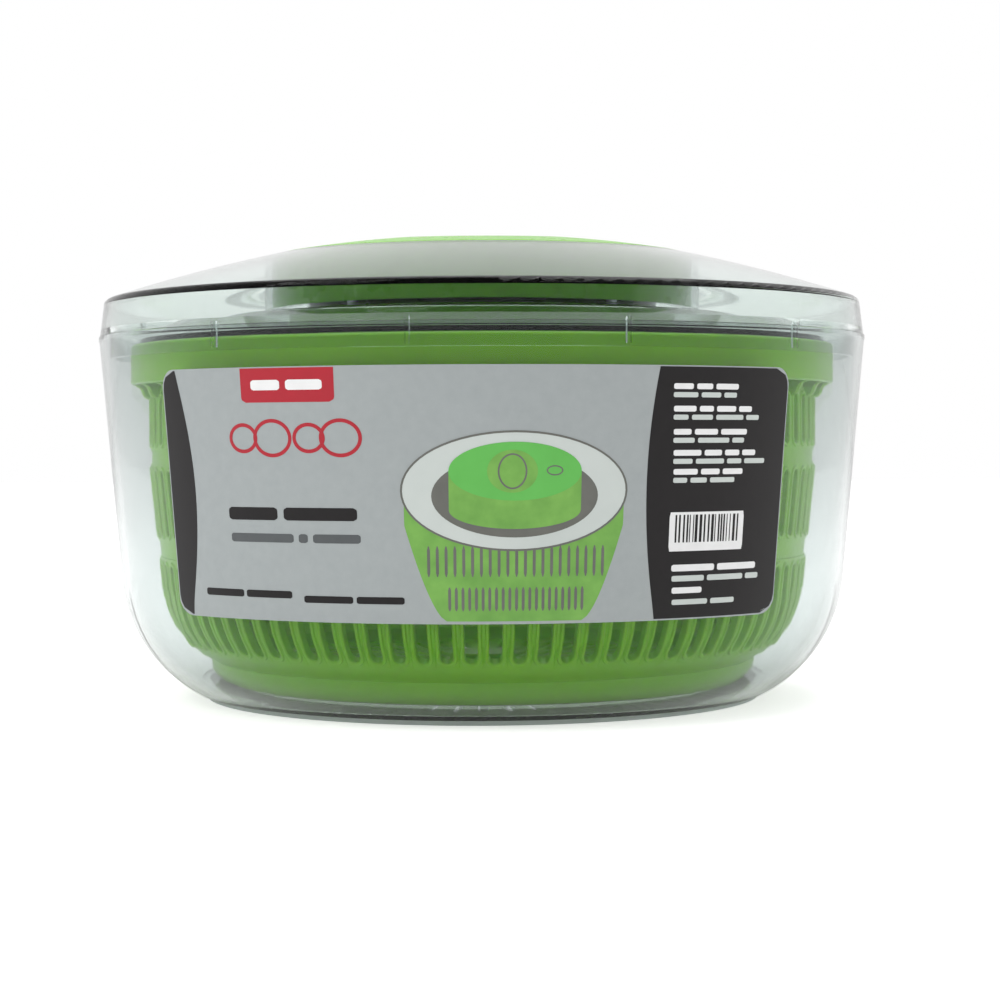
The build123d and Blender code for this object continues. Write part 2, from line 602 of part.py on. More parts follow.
def drive_disc():
    """Clear inner disc: a well round the housing, a crest, and a rim with drive lugs."""
    path = Polyline(
        (HUB_SPIGOT_R, DISC_FLOOR_Z), (DISC_WELL_R, DISC_FLOOR_Z),
        (DISC_CREST_R - 4.5, DISC_CREST_Z - DISC_WALL), (DISC_CREST_R, DISC_CREST_Z - DISC_WALL),
        (DISC_R - 1.5, DISC_FLANGE_Z), (DISC_FLANGE_R, DISC_FLANGE_Z),
    )
    disc = wall(path, DISC_WALL)
    lug_low_z = BASKET_TOP_Z - 1.6
    ring_slice = Pos((DISC_R + NOTCH_R) / 2, (lug_low_z + DISC_FLANGE_Z + 1) / 2) * Rectangle(
        NOTCH_R - DISC_R - 1.0, DISC_FLANGE_Z + 1 - lug_low_z
    )
    lug = Rot(0, 0, -LUG_DEGREES / 2) * revolve(Plane.XZ * ring_slice, Axis.Z, LUG_DEGREES)
    screw_hole = Pos(HUB_SCREW_CIRCLE, 0) * tube(0, 1.2, 0, HOUSING_FLOOR_Z)
    return disc + spun(lug, NOTCH_COUNT) - spun(screw_hole, 3)


# ---- Pull handle and stop button ---------------------------------------------------------
def pull_handle():
    """Hollow upper shell of the handle, crowned like the cover above it."""
    bar = stadium(HANDLE_WIDTH, HANDLE_LENGTH, HANDLE_LOW_Z, TOP_Z + 2)
    bar &= under_dome(TOP_Z - HANDLE_TOP_Z, 100.0)
    hollow_width = HANDLE_WIDTH - 2 * HANDLE_WALL
    hollow_length = HANDLE_LENGTH - 2 * HANDLE_WALL
    hollow_top_z = HANDLE_TOP_Z - 4.2
    hollow = stadium(hollow_width, hollow_length, HANDLE_LOW_Z - 1, hollow_top_z)
    return bar - hollow


def handle_base():
    """Plate that closes the handle underneath, with a socket round the knot."""
    play = 2 * HANDLE_WALL + 0.1
    plate = stadium(
        HANDLE_WIDTH - play, HANDLE_LENGTH - play, HANDLE_LOW_Z, HANDLE_LOW_Z + HANDLE_WALL
    )
    socket = Pos(0, CORD_EXIT_Y) * tube(0, 3.4, HANDLE_LOW_Z, KNOT_Z + 1)
    bore = Pos(0, CORD_EXIT_Y) * tube(0, CORD_R + 0.1, 0, KNOT_Z + 2)
    pocket = Pos(0, CORD_EXIT_Y) * tube(0, 2.5, KNOT_Z - 2.2, KNOT_Z + 2)
    return plate + socket - bore - pocket


def cord_knot():
    """The knot at the cord's end, with the short length below it."""
    knot = Pos(0, 0, KNOT_Z) * Sphere(2.2)
    tail = tube(0, CORD_R, HANDLE_LOW_Z, KNOT_Z)
    return Pos(0, CORD_EXIT_Y) * (knot + tail)


def stop_button():
    """Button whose top follows the cover's crown, with a retaining flange and a long stem."""
    place = Pos(BUTTON_X, BUTTON_Y)
    cap = place * tube(0, BUTTON_R, BUTTON_UNDER_Z, TOP_Z + 2)
    cap &= Pos(0, 0, BUTTON_PROUD) * under_dome(0, 100.0)
    dish = place * Pos(0, 0, BUTTON_DISH_Z) * Sphere(BUTTON_DISH_R)
    flange = place * tube(0, GUIDE_R - GAP, BUTTON_UNDER_Z, BUTTON_UNDER_Z + 1.5)
    stem = place * tube(0, STEM_R, PAD_LOW_Z + 1.8, BUTTON_UNDER_Z + 1)
    return cap - dish + flange + stem


def button_spring():
    """Return spring round the stem, between its seat and the button."""
    turns = 4
    wire = 0.8
    height = BUTTON_UNDER_Z - BUTTON_SEAT_Z - wire - 0.1
    path = Helix(pitch=height / turns, height=height, radius=STEM_R + 2.4)
    coil = sweep(Plane(path @ 0, z_dir=path % 0) * Circle(wire / 2), path=path, is_frenet=True)
    return Pos(BUTTON_X, BUTTON_Y, BUTTON_SEAT_Z + wire / 2 + 0.05) * coil


def brake_pad():
    """Rubber foot of the stem that rubs on the disc."""
    pad = tube(0, PAD_R, PAD_LOW_Z, PAD_LOW_Z + 4.0)
    pad = fillet(pad.edges().filter_by(GeomType.CIRCLE).sort_by(Axis.Z)[0], 0.6)
    return Pos(BUTTON_X, BUTTON_Y) * (pad - tube(0, STEM_R, PAD_LOW_Z + 1.8, PAD_LOW_Z + 6))


# ---- Write the sub-parts -----------------------------------------------------------------
for make in (
    outer_bowl, base_ring, front_label, pivot_cap, salad_basket,
    lid_shell, mechanism_cover, lower_housing, housing_screws,
    cord_eyelet, guide_pulley, pulley_pin, pull_cord,
    cord_spool, cord_winding, recoil_spring, spool_axle, retaining_clip, clutch_spring,
    drive_hub, hub_screws, drive_disc,
    pull_handle, handle_base, cord_knot,
    stop_button, button_spring, brake_pad,
):
    save(make(), make.__name__)
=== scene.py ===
import math
import random

import bmesh
import bpy
from mathutils import Matrix, Vector


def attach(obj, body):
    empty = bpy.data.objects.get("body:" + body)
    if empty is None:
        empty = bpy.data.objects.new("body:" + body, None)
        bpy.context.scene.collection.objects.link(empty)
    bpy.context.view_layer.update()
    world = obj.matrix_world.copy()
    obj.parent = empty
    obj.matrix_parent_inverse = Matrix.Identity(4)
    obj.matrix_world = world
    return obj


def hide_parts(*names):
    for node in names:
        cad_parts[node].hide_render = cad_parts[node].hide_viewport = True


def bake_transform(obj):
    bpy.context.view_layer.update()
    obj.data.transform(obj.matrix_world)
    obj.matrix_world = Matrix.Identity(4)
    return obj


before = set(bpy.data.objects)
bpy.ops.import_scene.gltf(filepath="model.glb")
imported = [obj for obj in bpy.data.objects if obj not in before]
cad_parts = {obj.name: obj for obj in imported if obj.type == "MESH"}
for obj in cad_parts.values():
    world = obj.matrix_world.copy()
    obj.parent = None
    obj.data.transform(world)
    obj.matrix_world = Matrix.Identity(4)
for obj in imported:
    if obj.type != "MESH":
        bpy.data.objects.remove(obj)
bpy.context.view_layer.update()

# Looks of the pull-cord salad spinner. Lengths in the helpers are millimetres, as in the CAD,
# and MM turns them into the scene's metres. Angles on the bowl count from its front, -Y.
MM = 0.001
SMOOTH = math.radians(32)

# ---- Sizes that the CAD gives -----------------------------------------------------------
BOWL_CORNER = (75.3, 44.15, 47.7)        # radius and height of the corner's centre, its radius
BOWL_DRAFT = math.radians(5)
BASKET_R = 113.0
BASKET_WALL = 2.2
BASKET_BOTTOM_Z = 6.0
BASKET_TOP_Z = 118.5
BASKET_FOOT = (93.1, 9.0)                # radius and height where the wall leaves the floor
BASKET_CORNER = ((94.0, 13.2), (103.6, 22.0), (108.9, 37.0))
BASKET_TAPER_TOP_Z = 77.2                # the wall is upright above this
BAND_R = 119.4
BAND_LOW_Z = 105.5
SLOT_COUNT = 90
SLOT_WIDTH = 4.0
SLOT_TIERS = ((20.0, 46.2), (55.8, 77.2), (85.6, 101.6))
FLOOR_SLOT_RINGS = ((36, 26.0, 50.0), (60, 57.0, 84.0))
NOTCH_R = 115.0
LABEL_LEFT, LABEL_RIGHT = -49.7, 46.6
LABEL_LOW_Z, LABEL_HIGH_Z = 33.2, 108.5
LABEL_FACE = 0.31                        # the print stands this far off the bowl
DOME_R = 399.8                           # the cover's dome, which the handle's top follows
CORD_R = 1.0
WINDING_Z = 121.7
PULLEY_PATH_R = 6.5
WINDING_R = 15.0
CORD_EXIT_Y = 37.0
CORD_TOP_Z = 142.4                       # the cord's end inside the handle


# ---- Materials ---------------------------------------------------------------------------
def linear(red, green, blue):
    """A screen colour, 0 to 255, as the shader's linear colour."""
    parts = [value / 255 for value in (red, green, blue)]
    return [p / 12.92 if p <= 0.04045 else ((p + 0.055) / 1.055) ** 2.4 for p in parts] + [1.0]


def material(name, light, dark, grain, rough, bump, stretch=(1, 1, 1), **sockets):
    """A Principled material with colour, roughness and relief from noise.

    grain is the noise's size in millimetres, rough its lowest and highest roughness, bump the
    relief's depth in millimetres, and sockets any of the shader's own values.
    """
    made = bpy.data.materials.new(name)
    made.use_nodes = True
    nodes, links = made.node_tree.nodes, made.node_tree.links
    shader = nodes["Principled BSDF"]
    coords = nodes.new("ShaderNodeTexCoord")
    mapping = nodes.new("ShaderNodeMapping")
    mapping.inputs["Scale"].default_value = stretch
    links.new(coords.outputs["Object"], mapping.inputs["Vector"])
    broad = nodes.new("ShaderNodeTexNoise")
    broad.inputs["Scale"].default_value = 1 / (grain * 12 * MM)
    broad.inputs["Detail"].default_value = 4
    fine = nodes.new("ShaderNodeTexNoise")
    fine.inputs["Scale"].default_value = 1 / (grain * MM)
    fine.inputs["Detail"].default_value = 3
    links.new(mapping.outputs["Vector"], broad.inputs["Vector"])
    links.new(mapping.outputs["Vector"], fine.inputs["Vector"])
    tint = nodes.new("ShaderNodeMix")
    tint.data_type = "RGBA"
    tint.inputs["A"].default_value = dark
    tint.inputs["B"].default_value = light
    links.new(broad.outputs["Fac"], tint.inputs["Factor"])
    links.new(tint.outputs["Result"], shader.inputs["Base Color"])
    spread = nodes.new("ShaderNodeMapRange")
    spread.inputs["To Min"].default_value = rough[0]
    spread.inputs["To Max"].default_value = rough[1]
    links.new(broad.outputs["Fac"], spread.inputs["Value"])
    links.new(spread.outputs["Result"], shader.inputs["Roughness"])
    relief = nodes.new("ShaderNodeBump")
    relief.inputs["Strength"].default_value = 1.0
    relief.inputs["Distance"].default_value = bump * MM
    links.new(fine.outputs["Fac"], relief.inputs["Height"])
    links.new(relief.outputs["Normal"], shader.inputs["Normal"])
    for socket, value in sockets.items():
        shader.inputs[socket.replace("_", " ")].default_value = value
    return made


def clear_plastic(name, light, dark, bump, ior=1.49):
    """Transparent moulded plastic, faintly tinted and faintly wavy, with a low facing gloss."""
    return material(
        name, light, dark, 9.0, (0.015, 0.05), bump,
        Transmission_Weight=1.0, IOR=ior, Specular_Tint=linear(140, 140, 140),
    )


def green_plastic(name, light, dark, rough=(0.28, 0.42)):
    """Opaque green moulding with a soft gloss and a trace of light scattered under its skin."""
    return material(
        name, linear(*light), linear(*dark), 0.9, rough, 0.012,
        Subsurface_Weight=0.12, Subsurface_Scale=2 * MM, IOR=1.5,
    )


bowl_clear = clear_plastic("bowl_clear", linear(226, 231, 230), linear(220, 226, 225), 0.006)
lid_clear = clear_plastic("lid_clear", linear(236, 241, 239), linear(230, 236, 234), 0.006, 1.36)
disc_clear = clear_plastic("disc_clear", linear(246, 250, 248), linear(242, 247, 245), 0.005)
basket_green = green_plastic("basket_green", (150, 222, 34), (138, 212, 24))
cover_green = green_plastic("cover_green", (120, 194, 30), (110, 184, 24), (0.22, 0.34))
housing_green = green_plastic("housing_green", (116, 196, 26), (106, 184, 20))
handle_green = green_plastic("handle_green", (110, 182, 36), (102, 172, 30), (0.2, 0.34))
button_green = green_plastic("button_green", (106, 176, 36), (98, 166, 30), (0.2, 0.34))
ring_rubber = material(
    "ring_rubber", linear(214, 222, 220), linear(198, 206, 204), 0.6, (0.35, 0.5), 0.03
)
brake_rubber = material(
    "brake_rubber", linear(48, 48, 50), linear(34, 34, 36), 0.5, (0.7, 0.85), 0.03
)
spool_white = material(
    "spool_white", linear(226, 226, 220), linear(214, 214, 208), 0.8, (0.3, 0.45), 0.012
)
bearing_white = material(
    "bearing_white", linear(236, 236, 230), linear(222, 222, 216), 0.8, (0.25, 0.4), 0.01
)
steel = material(
    "steel", linear(196, 198, 200), linear(168, 170, 174), 0.5, (0.18, 0.38), 0.008,
    Metallic=1.0,
)
spring_steel = material(
    "spring_steel", linear(160, 162, 166), linear(120, 122, 128), 0.4, (0.22, 0.45), 0.01,
    Metallic=1.0,
)
cord_fibre = material(
    "cord_fibre", linear(238, 238, 232), linear(206, 206, 198), 0.28, (0.7, 0.9), 0.12
)
label_silver = material(
    "label_silver", linear(166, 172, 172), linear(154, 160, 161), 0.25, (0.34, 0.42), 0.004,
    Metallic=0.25,
)
print_black = material(
    "print_black", linear(30, 27, 28), linear(22, 19, 20), 0.3, (0.3, 0.4), 0.004,
    Specular_IOR_Level=0.25,
)
print_red = material(
    "print_red", linear(178, 6, 36), linear(166, 2, 30), 0.3, (0.3, 0.4), 0.004
)
print_white = material(
    "print_white", linear(240, 240, 240), linear(228, 228, 228), 0.3, (0.35, 0.45), 0.004
)
print_grey = material(
    "print_grey", linear(84, 88, 90), linear(72, 76, 78), 0.3, (0.35, 0.45), 0.004
)
print_pale = material(
    "print_pale", linear(206, 212, 208), linear(190, 198, 194), 1.2, (0.3, 0.4), 0.004
)
print_leaf = material(
    "print_leaf", linear(132, 190, 84), linear(84, 142, 52), 0.5, (0.3, 0.4), 0.004
)
print_dome = material(
    "print_dome", linear(100, 190, 84), linear(86, 174, 70), 0.8, (0.3, 0.4), 0.004
)
print_shade = material(
    "print_shade", linear(112, 112, 106), linear(84, 86, 80), 0.8, (0.3, 0.4), 0.004
)

NODE_MATERIALS = {
    "outer_bowl": bowl_clear, "base_ring": ring_rubber, "front_label": label_silver,
    "pivot_cap": bearing_white, "lid_shell": lid_clear, "mechanism_cover": cover_green,
    "lower_housing": housing_green, "housing_screws": steel, "cord_eyelet": steel,
    "guide_pulley": bearing_white, "pulley_pin": steel, "cord_spool": spool_white,
    "recoil_spring": spring_steel, "spool_axle": steel, "retaining_clip": spring_steel,
    "clutch_spring": spring_steel, "drive_hub": bearing_white, "hub_screws": steel,
    "drive_disc": disc_clear, "handle_base": handle_green, "cord_knot": cord_fibre,
    "stop_button": button_green, "button_spring": spring_steel, "brake_pad": brake_rubber,
}
for node_name, finish in NODE_MATERIALS.items():
    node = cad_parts[node_name]
    node.data.materials.clear()
    node.data.materials.append(finish)


# ---- Mesh helpers ------------------------------------------------------------------------
def piece(name, points, faces, body, finish, stands_for=()):
    """A mesh object from millimetre points, merged, turned outwards and smoothed by angle."""
    mesh = bpy.data.meshes.new(name)
    mesh.from_pydata([[c * MM for c in p] for p in points], [], faces)
    work = bmesh.new()
    work.from_mesh(mesh)
    bmesh.ops.remove_doubles(work, verts=work.verts, dist=0.004 * MM)
    bmesh.ops.recalc_face_normals(work, faces=work.faces)
    work.to_mesh(mesh)
    work.free()
    mesh.validate()
    mesh.polygons.foreach_set("use_smooth", [True] * len(mesh.polygons))
    mesh.set_sharp_from_angle(angle=SMOOTH)
    mesh.materials.append(finish)
    made = bpy.data.objects.new(name, mesh)
    bpy.context.scene.collection.objects.link(made)
    if body:
        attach(made, body)
    if stands_for:
        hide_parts(*stands_for)
    return made


class Shape:
    """Points and faces gathered from several closed shells before they become one piece."""

    def __init__(self):
        self.points = []
        self.faces = []

    def loops(self, loops, closed_round=True, caps=False, loops_close=False):
        """Quads between neighbouring loops of equally many points."""
        start, size = len(self.points), len(loops[0])
        for loop in loops:
            self.points += loop
        count = len(loops) if loops_close else len(loops) - 1
        steps = size if closed_round else size - 1
        for row in range(count):
            here = start + row * size
            there = start + (row + 1) % len(loops) * size
            for step in range(steps):
                after = (step + 1) % size
                self.faces.append((here + step, here + after, there + after, there + step))
        if caps:
            last = start + (len(loops) - 1) * size
            self.faces.append(tuple(range(start, start + size)))
            self.faces.append(tuple(range(last, last + size)))

    def lathe(self, outline, segments, start=0.0, sweep=360.0):
        """A closed outline of (radius, height) turned about Z, through a full or part turn."""
        full = abs(sweep - 360) < 1e-6
        count = segments if full else segments + 1
        loops = []
        for step in range(count):
            angle = math.radians(start + sweep * step / segments)
            loops.append([(r * math.cos(angle), r * math.sin(angle), z) for r, z in outline])
        self.loops(loops, loops_close=full, caps=not full)


def arc(centre, radius, first, last, steps):
    """Points of an arc in a flat plane, from one angle in degrees to another."""
    turns = [math.radians(first + (last - first) * step / steps) for step in range(steps + 1)]
    return [(centre[0] + radius * math.cos(t), centre[1] + radius * math.sin(t)) for t in turns]


def tube_loops(path, radius, sides):
    """Rings round a path of 3-D points."""
    rings = []
    normal = None
    for index, point in enumerate(path):
        before, after = path[max(index - 1, 0)], path[min(index + 1, len(path) - 1)]
        heading = (Vector(after) - Vector(before)).normalized()
        if normal is None:
            normal = heading.orthogonal()
        normal = (normal - heading * normal.dot(heading)).normalized()
        across = heading.cross(normal)
        ring = []
        for side in range(sides):
            turn = 2 * math.pi * side / sides
            offset = normal * math.cos(turn) * radius + across * math.sin(turn) * radius
            ring.append(tuple(Vector(point) + offset))
        rings.append(ring)
    return rings


# ---- Basket ------------------------------------------------------------------------------
def circle_through(a, b, c):
    """Centre and radius of the circle through three points."""
    (ax, ay), (bx, by), (cx, cy) = a, b, c
    d = 2 * (ax * (by - cy) + bx * (cy - ay) + cx * (ay - by))
    sa, sb, sc = ax * ax + ay * ay, bx * bx + by * by, cx * cx + cy * cy
    x = (sa * (by - cy) + sb * (cy - ay) + sc * (ay - by)) / d
    y = (sa * (cx - bx) + sb * (ax - cx) + sc * (bx - ax)) / d
    return (x, y), math.hypot(ax - x, ay - y)


CORNER_CENTRE, CORNER_R = circle_through(*BASKET_CORNER)


def basket_face(z):
    """Radius of the basket's outer face at a height."""
    corner_low, _, corner_high = BASKET_CORNER
    if z < corner_low[1]:
        foot_r, foot_z = BASKET_FOOT
        return foot_r + (z - foot_z) * (corner_low[0] - foot_r) / (corner_low[1] - foot_z)
    if z < corner_high[1]:
        return CORNER_CENTRE[0] + math.sqrt(CORNER_R ** 2 - (z - CORNER_CENTRE[1]) ** 2)
    reach = min((z - corner_high[1]) / (BASKET_TAPER_TOP_Z - corner_high[1]), 1.0)
    return corner_high[0] + reach * (BASKET_R - corner_high[0])


def on_wall(across, z, offset, heading):
    """Point on the basket's wall: across in mm from the slot's heading, offset along the normal."""
    step = 0.05
    rise = (basket_face(z + step) - basket_face(z - step)) / (2 * step)
    length = math.hypot(1, rise)
    radius = basket_face(z) + offset / length
    angle = heading + across / basket_face(z)
    return radius * math.cos(angle), radius * math.sin(angle), z - offset * rise / length


def on_floor(across, along, offset, heading):
    """Point on the basket's floor, whose outer face looks down."""
    angle = heading + across / along
    return along * math.cos(angle), along * math.sin(angle), BASKET_BOTTOM_Z - offset


def slot_loop(width, low, high, ends):
    """A round-ended slot's outline as (across, along), with equal counts on ends and sides."""
    half = width / 2
    top = [(half * -math.cos(math.pi * s / ends), high - half + half * math.sin(math.pi * s / ends))
           for s in range(ends + 1)]
    bottom = [(-x, low + high - y) for x, y in top]
    return top, bottom


def slotted_ring(shape, place, count, low, high, slot_low, slot_high, width, lip):
    """A closed ring of wall with a row of round-ended slots, each with a raised lip."""
    ends, sides = 8, 7
    half_turn = math.pi / count
    side_levels = [
        slot_high - width / 2 - (slot_high - slot_low - width) * s / sides
        for s in range(1, sides)
    ]
    rings = [(None, 0.0), (lip[0], 0.0), (lip[1], lip[2]), (0.3, lip[2]), (0.0, lip[2] / 3),
             (0.0, -BASKET_WALL + 0.2), (0.25, -BASKET_WALL), (None, -BASKET_WALL)]
    for index in range(count):
        heading = 2 * half_turn * index
        loops = []
        for grow, offset in rings:
            loop = []
            if grow is None:
                levels = [slot_high - width / 2] + side_levels + [slot_low + width / 2]
                for step in range(ends + 1):
                    share = -1 + 2 * step / ends
                    loop.append((share, high))
                loop += [(1.0, level) for level in levels[1:-1]]
                for step in range(ends + 1):
                    share = 1 - 2 * step / ends
                    loop.append((share, low))
                loop += [(-1.0, level) for level in reversed(levels[1:-1])]
                radius_of = basket_face if place is on_wall else (lambda along: along)
                loop = [
                    place(share * half_turn * radius_of(along), along, offset, heading)
                    for share, along in loop
                ]
            else:
                top, bottom = slot_loop(width + 2 * grow, slot_low - grow, slot_high + grow, ends)
                half = width / 2 + grow
                loop = top + [(half, level) for level in side_levels]
                loop += bottom + [(-half, level) for level in reversed(side_levels)]
                loop = [place(across, along, offset, heading) for across, along in loop]
            loops.append(loop)
        shape.loops(loops)
        size = len(loops[0])
        outer = len(shape.points) - len(loops) * size
        inner = outer + (len(loops) - 1) * size
        top_edge = range(ends)
        bottom_edge = range(ends + sides, 2 * ends + sides)
        for step in list(top_edge) + list(bottom_edge):
            shape.faces.append((outer + step, outer + step + 1, inner + step + 1, inner + step))


def basket_ring(low, high, sink, steps):
    """Outline of a plain stretch of the wall between two heights, slightly sunk."""
    levels = [low + (high - low) * step / steps for step in range(steps + 1)]
    outer = [(basket_face(z) - sink, z) for z in levels]
    inner = [(basket_face(z) - BASKET_WALL + 0.1, z) for z in reversed(levels)]
    return outer + inner


def build_basket():
    """Slotted wall in three tiers, slotted floor, foot, rolled rim, webs and drive notches."""
    shape = Shape()
    tier_margin = 2.1
    wall_lip = (1.35, 0.95, 0.5)
    floor_lip = (0.6, 0.3, 0.15)
    for low, high in SLOT_TIERS:
        slotted_ring(
            shape, on_wall, SLOT_COUNT, low - tier_margin, high + tier_margin, low, high,
            SLOT_WIDTH, wall_lip,
        )
    for count, inner_r, outer_r in FLOOR_SLOT_RINGS:
        slotted_ring(
            shape, on_floor, count, inner_r - 1.5, outer_r + 1.5, inner_r, outer_r, 3.4, floor_lip
        )
    gaps = list(zip(SLOT_TIERS[:-1], SLOT_TIERS[1:]))
    for (_, below), (above, _) in gaps:
        shape.lathe(basket_ring(below + tier_margin - 0.3, above - tier_margin + 0.3, 0.4, 6), 360)
    floor_top = BASKET_BOTTOM_Z + BASKET_WALL - 0.1
    shape.lathe([(51.2, 6.1), (55.8, 6.1), (55.8, floor_top), (51.2, floor_top)], 180)
    shape.lathe(
        [(0, 10.9), (8.3, 10.9), (8.3, 6.1), (24.8, 6.1), (24.8, floor_top), (11.8, floor_top),
         (11.2, 8.8), (11.0, 12.4), (10.4, 13.0), (0, 13.0)], 180,
    )
    wall_top = SLOT_TIERS[0][0] - tier_margin + 0.3
    foot_levels = [13.2 + (wall_top - 13.2) * step / 8 for step in range(9)]
    foot = [(85.2, 6.1), (90.2, 6.1), (91.4, 6.5), BASKET_FOOT, (93.6, 11.0)]
    foot += [(basket_face(z) - 0.15, z) for z in foot_levels]
    foot += [(basket_face(z) - BASKET_WALL + 0.1, z + 0.3) for z in reversed(foot_levels)]
    foot += [(91.4, 10.6), (90.4, 8.8), (88.6, floor_top), (85.2, floor_top)]
    shape.lathe(foot, 360)

    wall_low = SLOT_TIERS[-1][1] + tier_margin - 0.3
    inner_r = BASKET_R - BASKET_WALL
    roll = arc((BAND_R - 1.2, BASKET_TOP_Z - 1.2), 1.2, 90, 0, 6)
    lip = [(BAND_R, BAND_LOW_Z + 0.5), (BAND_R - 0.5, BAND_LOW_Z), (BAND_R - 2, BAND_LOW_Z)]
    plain = [(inner_r, wall_low), (inner_r, BASKET_TOP_Z)] + roll + lip
    plain += [(BAND_R - 2, BASKET_TOP_Z - 2), (BASKET_R - 0.4, BASKET_TOP_Z - 2)]
    plain += [(BASKET_R - 0.4, wall_low)]
    low_wall = [
        (inner_r, wall_low), (inner_r, BASKET_TOP_Z - 2.5), (BASKET_R - 0.4, BASKET_TOP_Z - 2.5),
        (BASKET_R - 0.4, wall_low),
    ]
    stub = [(NOTCH_R, BASKET_TOP_Z - 2), (NOTCH_R, BASKET_TOP_Z)] + roll + lip
    stub += [(BAND_R - 2, BASKET_TOP_Z - 2)]
    for index in range(6):
        shape.lathe(plain, 50, 60 * index + 5, 50)
        shape.lathe(low_wall, 10, 60 * index - 5, 10)
        shape.lathe(stub, 10, 60 * index - 5, 10)
    for index in range(45):
        add_web(shape, math.radians(2 + 8 * index))
    return piece(
        "basket_body", shape.points, shape.faces, "basket", basket_green,
        ("salad_basket",),
    )


def add_web(shape, heading):
    """A rounded web under the rim band, with a knob at its foot."""
    loops = []
    for z, reach, half in (
        (116.6, 5.4, 1.0), (105.4, 5.4, 1.0), (104.6, 3.9, 1.25), (103.4, 3.3, 1.45),
        (102.2, 2.9, 1.4), (101.2, 2.0, 1.1), (100.8, 0.8, 0.5),
    ):
        loop = []
        for across, out in ((-half, -1), (-half, reach - 0.7), (-half * 0.5, reach), (half * 0.5, reach),
                            (half, reach - 0.7), (half, -1)):
            radius = BASKET_R + out
            x, y = radius, across
            loop.append((
                x * math.cos(heading) - y * math.sin(heading),
                x * math.sin(heading) + y * math.cos(heading),
                z,
            ))
        loops.append(loop)
    shape.loops(loops, caps=True)


build_basket()


# ---- Handle ------------------------------------------------------------------------------
def stadium_loop(width, length, steps):
    """Outline of a bar with half-round ends, long along Y."""
    half = width / 2
    shift = length / 2 - half
    ends = []
    for side in (1, -1):
        for step in range(steps + 1):
            turn = math.pi * step / steps if side > 0 else math.pi + math.pi * step / steps
            ends.append((half * math.cos(turn), side * shift + half * math.sin(turn)))
    return ends


def crown(x, y, top_z):
    """Height of a surface that follows the cover's dome at a place, through a crown height."""
    return top_z - DOME_R + math.sqrt(DOME_R ** 2 - x * x - y * y)


def build_handle():
    """The pull handle's shell: crowned, softly rounded, with a long thumb dish on its top."""
    width, length, low_z, top_z = 27.0, 88.0, 142.2, 154.6
    shape = Shape()
    loops = []
    hollow = [(23.4, 84.4, low_z), (23.0, 84.0, top_z - 4.4)]
    for inner_width, inner_length, z in reversed(hollow):
        loops.append([(x, y, z) for x, y in stadium_loop(inner_width, inner_length, 16)])
    for inset, z in ((0.5, low_z), (0.15, low_z + 0.15), (0.0, low_z + 0.6), (0.0, low_z + 6)):
        outline = stadium_loop(width - 2 * inset, length - 2 * inset, 16)
        loops.append([(x, y, z) for x, y in outline])
    for inset, drop in ((0.0, 2.0), (0.2, 1.2), (0.6, 0.6), (1.2, 0.2), (2.0, 0.05)):
        outline = stadium_loop(width - 2 * inset, length - 2 * inset, 16)
        loops.append([(x, y, crown(x, y, top_z) - drop) for x, y in outline])
    for inset, dip in ((3.4, 0.0), (4.2, 0.25), (5.4, 0.85), (7.0, 1.25), (9.5, 1.5), (12.8, 1.6)):
        outline = stadium_loop(width - 2 * inset, length - 2 * inset, 16)
        loops.append([(x, y, crown(x, y, top_z) - dip) for x, y in outline])
    shape.loops(loops, caps=True)
    piece(
        "handle_shell", shape.points, shape.faces, "handle", handle_green,
        ("pull_handle",),
    )


build_handle()


# ---- Cord --------------------------------------------------------------------------------
def build_cord():
    """The run off the winding and round the pulley, the run up to the handle, and the turns."""
    turn = math.acos(WINDING_R / CORD_EXIT_Y)
    leaves = Vector((WINDING_R * math.sin(turn), WINDING_R * math.cos(turn), WINDING_Z))
    corner = Vector((0, CORD_EXIT_Y, WINDING_Z))
    back = (leaves - corner).normalized()
    centre = corner + back * PULLEY_PATH_R + Vector((0, 0, PULLEY_PATH_R))
    path = [tuple(leaves.lerp(corner + back * PULLEY_PATH_R, step / 12)) for step in range(12)]
    for step in range(13):
        bend = math.radians(90 * step / 12)
        point = centre - back * math.sin(bend) * PULLEY_PATH_R
        point.z = centre.z - math.cos(bend) * PULLEY_PATH_R
        path.append(tuple(point))
    low_z = path[-1][2]
    shape = Shape()
    shape.loops(tube_loops(path, CORD_R, 14), caps=True)
    piece("cord_level_run", shape.points, shape.faces, "lid", cord_fibre)
    steps = 48
    rise = [
        (0, CORD_EXIT_Y, low_z + (CORD_TOP_Z - low_z) * step / steps) for step in range(steps + 1)
    ]
    shape = Shape()
    shape.loops(tube_loops(rise, CORD_R, 14), caps=True)
    run = piece(
        "cord_pull_run", shape.points, shape.faces, None, cord_fibre, ("pull_cord",)
    )
    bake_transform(run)
    turns, lay_r, pitch, thick, steps = 3.2, 13.2, 1.75, 0.84, 40
    coil = []
    for step in range(int(turns * steps) + 1):
        angle = 2 * math.pi * step / steps
        height = WINDING_Z + pitch * (step / steps - turns / 2)
        coil.append((lay_r * math.cos(angle), lay_r * math.sin(angle), height))
    shape = Shape()
    shape.loops(tube_loops(coil, thick, 12), caps=True)
    piece(
        "cord_turns", shape.points, shape.faces, "spool", cord_fibre,
        ("cord_winding",),
    )


build_cord()


# ---- Label print -------------------------------------------------------------------------
def bowl_face(z):
    """Radius of the bowl's outer face at a height."""
    centre_r, centre_z, radius = BOWL_CORNER
    tangent_r = centre_r + radius * math.cos(BOWL_DRAFT)
    tangent_z = centre_z - radius * math.sin(BOWL_DRAFT)
    if z >= tangent_z:
        return tangent_r + (z - tangent_z) * math.tan(BOWL_DRAFT)
    return centre_r + math.sqrt(radius ** 2 - (centre_z - z) ** 2)


